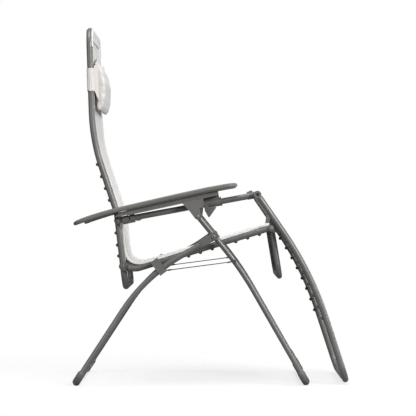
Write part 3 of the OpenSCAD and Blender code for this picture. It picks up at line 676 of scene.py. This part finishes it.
def stitch_piece(name, s0, s1):
    verts, faces = [], []
    count = max(1, int((s1 - s0) / STITCH_PITCH))
    for side in (-1, 1):
        for inset in STITCH_LIFT:
            for k in range(count):
                s = s0 + (s1 - s0) * (k + 0.2) / count
                e = s + STITCH_PITCH * 0.6
                up2 = on_route(s)[2]
                up = Vector((up2.x, 0, up2.y))
                lift = STITCH_LIFT[inset]
                a = sling_point(s, side * (half_width(s) + inset), lift)
                b = sling_point(e, side * (half_width(e) + inset), lift)
                stitch(verts, faces, a, b, up)
    return outward(piece(name, verts, faces, THREAD))


def in_row(point):
    return (point.x, 0, point.y)


SLING_PIECES = [
    ("sling_back", 0.0, S_BACK, "back", None, "back_sling"),
    ("sling_lumbar_upper", S_BACK, S_LUMBAR, "back", "back_pins", "lumbar_sling"),
    ("sling_lumbar_lower", S_LUMBAR, S_SEAT, "back_pins", "seat", "lumbar_sling"),
    ("sling_seat", S_SEAT, S_KNEE_START, "seat", None, "seat_sling"),
    ("sling_knee_rear", S_KNEE_START, S_KNEE, "seat", "knee_pins", "knee_sling"),
    ("sling_knee_front", S_KNEE, S_LEG, "knee_pins", "legrest", "knee_sling"),
    ("sling_leg", S_LEG, S_END, "legrest", None, "leg_sling"),
]


def place_on(obj, first, second, s0, s1):
    if second:
        in_row(on_route(s0)[0])
        in_row(on_route(s1)[0])
        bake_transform(obj)
    else:
        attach(obj, first)


for name, s0, s1, first, second, node in SLING_PIECES:
    cloth = sheet_piece(name, s0, s1)
    hem = hem_piece(name + "_hem", s0, s1)
    threads = stitch_piece(name + "_stitches", s0, s1)
    for obj in (cloth, hem, threads):
        place_on(obj, first, second, s0, s1)
    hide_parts(node)
    rows = stations(s0, s1)
    cut = sum((half_width(a) + half_width(b)) * (b - a) for a, b in zip(rows, rows[1:]))
    widest = 2 * max(half_width(s) for s in rows)

# the sleeve at the top goes round the top bar and is sewn down behind
TOP_CENTRE = Vector((-392, 1138)) * MM
SLEEVE_R = 0.0118
SLEEVE_HALF = 0.187
SLEEVE_FROM, SLEEVE_TURN, SLEEVE_STEPS = -32, 244, 24
SLEEVE_COLUMNS = 30
SEWN_IN_FRONT, SEWN_BEHIND = Vector((-0.3833, 1.1075)), Vector((-0.3858, 1.1055))


def round_top_bar(degrees):
    a = math.radians(degrees)
    return TOP_CENTRE + Vector((math.cos(a), math.sin(a))) * SLEEVE_R


# the front tail folds back on itself: its points run a third, two thirds and then none of the way up
sleeve_path = [SEWN_IN_FRONT.lerp(round_top_bar(SLEEVE_FROM), f) for f in (0.33, 0.66, 0.0)]
sleeve_path += [round_top_bar(SLEEVE_FROM + SLEEVE_TURN * k / SLEEVE_STEPS) for k in range(SLEEVE_STEPS + 1)]
sleeve_path += [round_top_bar(SLEEVE_FROM + SLEEVE_TURN).lerp(SEWN_BEHIND, f) for f in (0.35, 0.7, 1.0)]


def sleeve_piece():
    verts, uvs = [], []
    count = SLEEVE_COLUMNS
    total = 0.0
    rows = []
    for k, p in enumerate(sleeve_path):
        total += (p - sleeve_path[k - 1]).length if k else 0
        ahead = sleeve_path[min(k + 1, len(sleeve_path) - 1)] - sleeve_path[max(k - 1, 0)]
        normal = Vector((ahead.y, -ahead.x)).normalized()
        rows.append((p, normal, total))
    for side in (0.5, -0.5):
        for p, normal, distance in rows:
            for c in range(count + 1):
                y = (2 * c / count - 1) * (SLEEVE_HALF + 0.004 * (1.138 - p.y) / 0.03)
                pucker = 0.0004 * noise.noise(Vector((y * 60, distance * 40, 1.3)))
                q = p + normal * (side * SHEET_T + pucker)
                verts.append((q.x, y, q.y))
                uvs.append((y, distance))
    return outward(piece("sling_sleeve", verts, slab_faces(len(rows), count + 1), BORDER, uvs)), total


sleeve, sleeve_length = sleeve_piece()
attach(sleeve, "back")
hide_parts("back_sling")

COVER_R = 0.0116
BACK_LEAN = (392 - 380.2) / (1138 - 784.3)
COVER_ARC = math.radians(52)
COVER_ROWS, COVER_COLUMNS = 26, 12


def cover_piece(name, side):
    """The cloth over the front of one upper corner, from the sleeve round the bend of the tube."""
    verts, uvs = [], []
    for layer in (0.5, -0.5):
        for r in range(COVER_ROWS + 1):
            a = math.pi / 2 * r / COVER_ROWS
            out = Vector((0, side * math.sin(a), math.cos(a)))
            spine_x = TOP_CENTRE.x + (TOP_CENTRE.y - CORNER_Z) * (1 - math.cos(a)) * BACK_LEAN
            centre = Vector((spine_x, side * CORNER_Y, CORNER_Z)) + out * (TOP_CENTRE.y - CORNER_Z)
            for c in range(COVER_COLUMNS + 1):
                b = COVER_ARC * (2 * c / COVER_COLUMNS - 1)
                pucker = 0.0004 * noise.noise(Vector((r * 0.5, c * 0.3, side * 2.0)))
                ray = Vector((1, 0, 0)) * math.cos(b) + out * math.sin(b)
                verts.append(centre + ray * (COVER_R + layer * SHEET_T + pucker))
                uvs.append((b * COVER_R, a * CORNER_R))
    return outward(piece(name, verts, slab_faces(COVER_ROWS + 1, COVER_COLUMNS + 1), MESH, uvs))


for tag, side in (("right", -1), ("left", 1)):
    cover = cover_piece("sling_corner_" + tag, side)
    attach(cover, "back")
    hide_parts("back_sling")

# ---------------------------------------------------------------- headrest

BACK_UP = Vector((-392 + 380.2, 0, 1138 - 784.3)).normalized()
BACK_FORWARD = Vector((BACK_UP.z, 0, -BACK_UP.x))
PILLOW_MID = Vector((-386.3, 0, 968.5)) * MM
PILLOW_REAR = 0.0133
PILLOW_HALF_WIDE = 0.205
PILLOW_HALF_TALL = 0.093
# how far forward of the tubes' middle the pillow's front lies at each height
PILLOW_END = 0.095
PILLOW_FRONT = [
    (-PILLOW_END, 0.028), (-0.055, 0.040), (0.0, 0.0435), (0.041, 0.035), (0.075, 0.0185), (PILLOW_END, 0.0145),
]
PILLOW_LIMIT = 0.0945
LOW_CORNER = 0.82


def front_at(z):
    for (z0, x0), (z1, x1) in zip(PILLOW_FRONT, PILLOW_FRONT[1:]):
        if z <= z1:
            return x0 + (x1 - x0) * min(max((z - z0) / (z1 - z0), 0.0), 1.0)
    return PILLOW_FRONT[-1][1]


def on_back(x, y, z):
    """Row coordinates of a point forward, to the side and up from the middle of the headrest."""
    return PILLOW_MID + BACK_FORWARD * x + Vector((0, y, 0)) + BACK_UP * z


def pillow_section(tall):
    """Outline of the pillow seen from its end: flat behind, a thin wedge on top and full low down."""
    outline = [(PILLOW_REAR + 0.0008, -tall + 0.006 + (2 * tall - 0.008) * k / 15) for k in range(16)]
    for k in range(27):
        z = tall * math.cos(math.pi * k / 26)
        front = front_at(z / tall * PILLOW_END)
        below = max(0.0, (-z / tall - LOW_CORNER) / (1 - LOW_CORNER))
        round_off = math.sqrt(max(0.0, 1 - below ** 2)) * 0.3 + 0.7
        outline.append((PILLOW_REAR + max(front - PILLOW_REAR, 0.0012) * round_off, z))
    return outline


def pillow_start():
    """The unstuffed cover: two panels joined by a side band, a little smaller than the pillow."""
    rings = 33
    verts = []
    for k in range(rings):
        f = 2 * k / (rings - 1) - 1
        end = math.sqrt(max(0.0, 1 - abs(f) ** 9))
        for x, z in pillow_section(PILLOW_HALF_TALL * (0.93 + 0.05 * end)):
            x = PILLOW_REAR + (x - PILLOW_REAR) * (0.70 + 0.27 * end)
            verts.append(on_back(x, f * PILLOW_HALF_WIDE * 0.98, z))
    size = len(verts) // rings
    faces = rings_faces(rings, size)
    return outward(piece("headrest_pillow_look", verts, faces, PILLOW_CLOTH, sharp=math.pi))


def select_only(obj):
    for other in bpy.context.selected_objects:
        other.select_set(False)
    obj.select_set(True)
    bpy.context.view_layer.objects.active = obj


def apply_modifier(obj, modifier):
    select_only(obj)
    bpy.ops.object.modifier_apply(modifier=modifier.name)


def remesh(obj, voxel):
    modifier = obj.modifiers.new("voxels", "REMESH")
    modifier.mode = "VOXEL"
    modifier.voxel_size = voxel
    modifier.use_smooth_shade = True
    apply_modifier(obj, modifier)


def stuff(obj, pressure, frames, cap):
    """Inflates the cover by cloth simulation, holding every point within cap of where it began."""
    start = [v.co.copy() for v in obj.data.vertices]
    modifier = obj.modifiers.new("stuffing", "CLOTH")
    settings = modifier.settings
    settings.quality = 6
    settings.mass = 0.35
    settings.tension_stiffness = 12
    settings.compression_stiffness = 12
    settings.shear_stiffness = 6
    settings.bending_stiffness = 1.2
    settings.use_pressure = True
    settings.uniform_pressure_force = pressure
    settings.effector_weights.gravity = 0
    modifier.point_cache.frame_start = 1
    modifier.point_cache.frame_end = frames
    for number in range(1, frames + 1):
        scene.frame_set(number)
    depsgraph = bpy.context.evaluated_depsgraph_get()
    result = [v.co.copy() for v in obj.evaluated_get(depsgraph).data.vertices]
    obj.modifiers.remove(modifier)
    scene.frame_set(1)
    for vertex, a, b in zip(obj.data.vertices, start, result):
        move = b - a
        if move.length > cap:
            move *= cap / move.length
        vertex.co = a + move


def local(p):
    d = Vector(p) - PILLOW_MID
    return d.dot(BACK_FORWARD), d.y, d.dot(BACK_UP)


pillow = pillow_start()
remesh(pillow, 0.004)
stuff(pillow, 4.0, 20, 0.006)
for vertex in pillow.data.vertices:
    x, y, z = local(vertex.co)
    # the back lies on the sling, the front stays within its depth, and gathers run in from the side seams
    edge = smooth((abs(y) - 0.145) / 0.06)
    gather = 0.0014 * edge * math.sin(z * 230 + 2.0 * noise.noise(Vector((y * 18, z * 12, 0.4))))
    crease = 0.0022 * noise.noise(Vector((y * 16, z * 22, 5.0)))
    crease += 0.0010 * noise.noise(Vector((y * 45, z * 60, 2.0)))
    x += (gather + crease) * smooth((x - PILLOW_REAR - 0.004) / 0.02)
    x = min(max(x, PILLOW_REAR), front_at(z) + 0.0015)
    y = max(-PILLOW_HALF_WIDE - 0.004, min(PILLOW_HALF_WIDE + 0.004, y))
    z = max(-PILLOW_LIMIT, min(PILLOW_LIMIT, z))
    vertex.co = on_back(x, y, z)
fine = pillow.modifiers.new("fine", "SUBSURF")
fine.levels = fine.render_levels = 1
apply_modifier(pillow, fine)
for polygon in pillow.data.polygons:
    polygon.use_smooth = True
uv_from_sides(pillow.data)
pillow.data.materials.clear()
pillow.data.materials.append(PILLOW_CLOTH)
pillow.data.materials.append(GUSSET_CLOTH)
for polygon in pillow.data.polygons:
    x, y, z = local(polygon.center)
    polygon.material_index = 1 if abs(polygon.normal.y) > 0.6 or x < PILLOW_REAR + 0.004 else 0
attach(pillow, "headrest")
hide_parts("headrest_pillow")

# the elastic band: round both back tubes, flaring where it meets the pillow
BAND_T = 0.0015
BAND_R = 0.0115
BACK_Y = 0.250
BAND_RISE = 0.010
BAND_FORWARD = 0.011
BAND_FRONT, BAND_FLARE, BAND_BEHIND = 0.037, 0.031, 0.036
BAND_ROWS = 15
BAND_STRAIGHT, BAND_BEND = 56, 28


def band_reach(y):
    """How far the band comes forward on its way from the tube to its seam on the pillow's end."""
    off = BACK_Y - abs(y)
    return BAND_FORWARD * smooth((off - 0.002) / 0.036) * (1 - smooth((off - 0.048) / 0.012))


def band_path():
    """(forward, side) points round the loop."""
    points = []
    straight, bend = BAND_STRAIGHT, BAND_BEND
    for k in range(straight):
        y = -BACK_Y + 2 * BACK_Y * k / straight
        points.append(Vector((BAND_R + band_reach(y), y)))
    for k in range(bend):
        a = math.pi * k / bend
        points.append(Vector((BAND_R * math.cos(a), BACK_Y + BAND_R * math.sin(a))))
    for k in range(straight):
        points.append(Vector((-BAND_R, BACK_Y - 2 * BACK_Y * k / straight)))
    for k in range(bend):
        a = math.pi * k / bend
        points.append(Vector((-BAND_R * math.cos(a), -BACK_Y - BAND_R * math.sin(a))))
    return points


def band_half(p):
    """Half the band's height: narrow round the tube, wider in front towards the pillow."""
    if p.x > 0.004:
        return BAND_FRONT + BAND_FLARE * smooth((BACK_Y + 0.001 - abs(p.y)) / 0.04)
    return BAND_BEHIND


def band_piece():
    loop = band_path()
    verts, uvs, faces = [], [], []
    total = 0.0
    for k, p in enumerate(loop):
        total += (p - loop[k - 1]).length if k else 0
        before, after = loop[k - 1], loop[(k + 1) % len(loop)]
        t = (after - before).normalized()
        n = Vector((-t.y, t.x))
        if n.dot(p - Vector((0, max(-BACK_Y, min(BACK_Y, p.y))))) < 0:
            n = -n
        half = band_half(p)
        for r in range(BAND_ROWS + 1):
            v = 2 * r / BAND_ROWS - 1
            ridge = 0.0007 * math.sin(total * 2 * math.pi / 0.0062) * (1 - abs(v) ** 6)
            hem = 0.0006 if abs(v) > 0.88 else 0.0
            ruffle = 0.0012 * math.sin(total * 2 * math.pi / 0.0124) * abs(v) ** 8
            q = p + n * (ridge + hem + 0.0004)
            verts.append(on_back(q.x, q.y, BAND_RISE + v * half + ruffle))
            uvs.append((total, v * half))
        for r in range(BAND_ROWS, -1, -1):
            v = 2 * r / BAND_ROWS - 1
            q = p - n * BAND_T * 0.5
            verts.append(on_back(q.x, q.y, BAND_RISE + v * half))
            uvs.append((total, v * half))
    size = 2 * (BAND_ROWS + 1)
    count = len(loop)
    for k in range(count):
        for i in range(size):
            a, b = k * size + i, k * size + (i + 1) % size
            c, d = ((k + 1) % count) * size + (i + 1) % size, ((k + 1) % count) * size + i
            faces.append((a, b, c, d))
    return outward(piece("headrest_band", verts, faces, GUSSET_CLOTH, uvs, sharp=math.radians(70))), total


band, band_length = band_piece()
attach(band, "headrest")
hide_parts("headrest_straps")
band_loop = band_path()
band_pairs = zip(band_loop, band_loop[1:] + band_loop[:1])
band_area = sum((a - b).length * (band_half(a) + band_half(b)) for a, b in band_pairs)

# ---------------------------------------------------------------- armrest pads

ARM_BACK = Vector((-299.6, 0, 525.3)) * MM
ARM_REST = Vector((148.5, 0, 609.0)) * MM
ARM_AHEAD = (ARM_REST - ARM_BACK).normalized()
ARM_UP = Vector((-ARM_AHEAD.z, 0, ARM_AHEAD.x))
PAD_TOP = [
    (-138, 23.5), (-110, 29.4), (-80, 33.8), (-40, 38.4), (10, 42.2), (60, 44.5), (105, 46.3), (160, 48.6),
    (210, 50.5), (260, 52), (300, 53), (340, 52.9), (370, 52.6), (385, 51.8), (398, 50.5),
]
PAD_CURVE = spline([Vector(p) * MM for p in PAD_TOP], 10)
PAD_WIDTH, PAD_THICK, PAD_Y = 0.066, 0.017, 0.2975
PAD_FROM, PAD_TO = -0.138, 0.398
PAD_RINGS, PAD_SIDES = 70, 64
# 1 is a plain ellipse; less than 1 squares the pad's section
PAD_SQUARE = 0.42


def on_arm(x, y, z):
    return ARM_BACK + ARM_AHEAD * x + Vector((0, y, 0)) + ARM_UP * z


def pad_height(x):
    for a, b in zip(PAD_CURVE, PAD_CURVE[1:]):
        if a.x <= x <= b.x:
            return a.y + (b.y - a.y) * (x - a.x) / (b.x - a.x)
    return PAD_CURVE[0].y if x < PAD_CURVE[0].x else PAD_CURVE[-1].y


def tip(x, reach):
    e = min(x - PAD_FROM, PAD_TO - x)
    return 1.0 if e >= reach else math.sqrt(max(0.0, 1 - (1 - e / reach) ** 2))


def pad_piece(name, side):
    spread = [0.5 - 0.5 * math.cos(math.pi * k / PAD_RINGS) for k in range(PAD_RINGS + 1)]
    xs = [PAD_FROM + (PAD_TO - PAD_FROM) * f for f in spread]
    sides = PAD_SIDES
    verts = []
    for x in xs:
        x = min(max(x, PAD_FROM + 0.0002), PAD_TO - 0.0002)
        w = PAD_WIDTH / 2 * (0.3 + 0.7 * tip(x, 0.034))
        t = PAD_THICK / 2 * (0.72 + 0.28 * tip(x, 0.060)) * (0.45 + 0.55 * tip(x, 0.009))
        for i in range(sides):
            a = 2 * math.pi * i / sides
            c, s = math.cos(a), math.sin(a)
            y = w * math.copysign(abs(c) ** PAD_SQUARE, c)
            z = t * math.copysign(abs(s) ** PAD_SQUARE, s)
            # a shallow dish on top and a hollow underside with a lip
            f = abs(y) / w
            if s > 0:
                z -= 0.0011 * smooth((0.86 - f) / 0.5) * tip(x, 0.03)
            else:
                z += 0.0018 * smooth((0.84 - f) / 0.06) * tip(x, 0.03)
            verts.append(on_arm(x, side * PAD_Y + y, pad_height(x) - PAD_THICK / 2 + z))
    return outward(piece(name, verts, rings_faces(len(xs), sides), PAD_PLASTIC, sharp=math.radians(55)))


for tag, side in (("right", -1), ("left", 1)):
    pad = pad_piece("pad_" + tag, side)
    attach(pad, "armrests")
    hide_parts("armrest_pad_" + tag)

# ---------------------------------------------------------------- rivet heads

# each pivot: its place in the side plane in millimetres, its body, the head's radius in millimetres, its look
PIVOTS = {
    "back_pivot_pins": ((-282.4, 379.1), "back_pins", 5.0, PAINT),
    "knee_pivot_pins": ((194.3, 503.1), "knee_pins", 7.0, RIVET),
    "arm_pivot_pins": ((-299.6, 525.3), "arm_pins", 5.5, PAINT),
    "leg_pivot_rivets": ((8.9, 475.1), "rear_legs", 5.5, RIVET),
    "guide_bolts": ((-40.7, 539.0), "armrests", 4.5, RIVET),
}
HEAD_HEIGHT = 0.0012
SOCKET_PROFILE = [(0.0001, 0.0), (0.0024, 0.0), (0.0024, 0.0006), (0.0001, 0.0006)]


def dome(radius, height, rim=0.0004):
    """A rivet's rounded head with a small dimple."""
    profile = [(radius * 0.2, -0.0006), (radius * 0.96, -0.0006), (radius, 0.0)]
    for k in range(1, 9):
        a = math.pi / 2 * k / 9
        profile.append((radius * math.cos(a) * 0.97 + 0.0001, rim + height * math.sin(a)))
    profile += [(radius * 0.16, rim + height * 0.92), (radius * 0.04, rim + height * 0.86)]
    return profile


for node_name, ((x_mm, z_mm), body, head, look) in PIVOTS.items():
    lo, hi = (Vector(end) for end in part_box(node_name))
    for tag, side in (("right", -1), ("left", 1)):
        outer = hi.y if side > 0 else lo.y
        spot = (x_mm * MM, outer, z_mm * MM)
        profile = dome(head * MM, HEAD_HEIGHT)
        cap = lathe("rivet_" + node_name + "_" + tag, spot, (0, side, 0), profile, look, body)
        # on the leg pivots a near-black disc stands on the head's middle as painted shade for the rivet's hollow
        if node_name == "leg_pivot_rivets":
            sunk = (spot[0], outer + side * HEAD_HEIGHT, spot[2])
            hollow_shade = lathe("socket_" + tag, sunk, (0, side, 0), SOCKET_PROFILE, SOCKET_SHADE, body)

lo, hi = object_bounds()
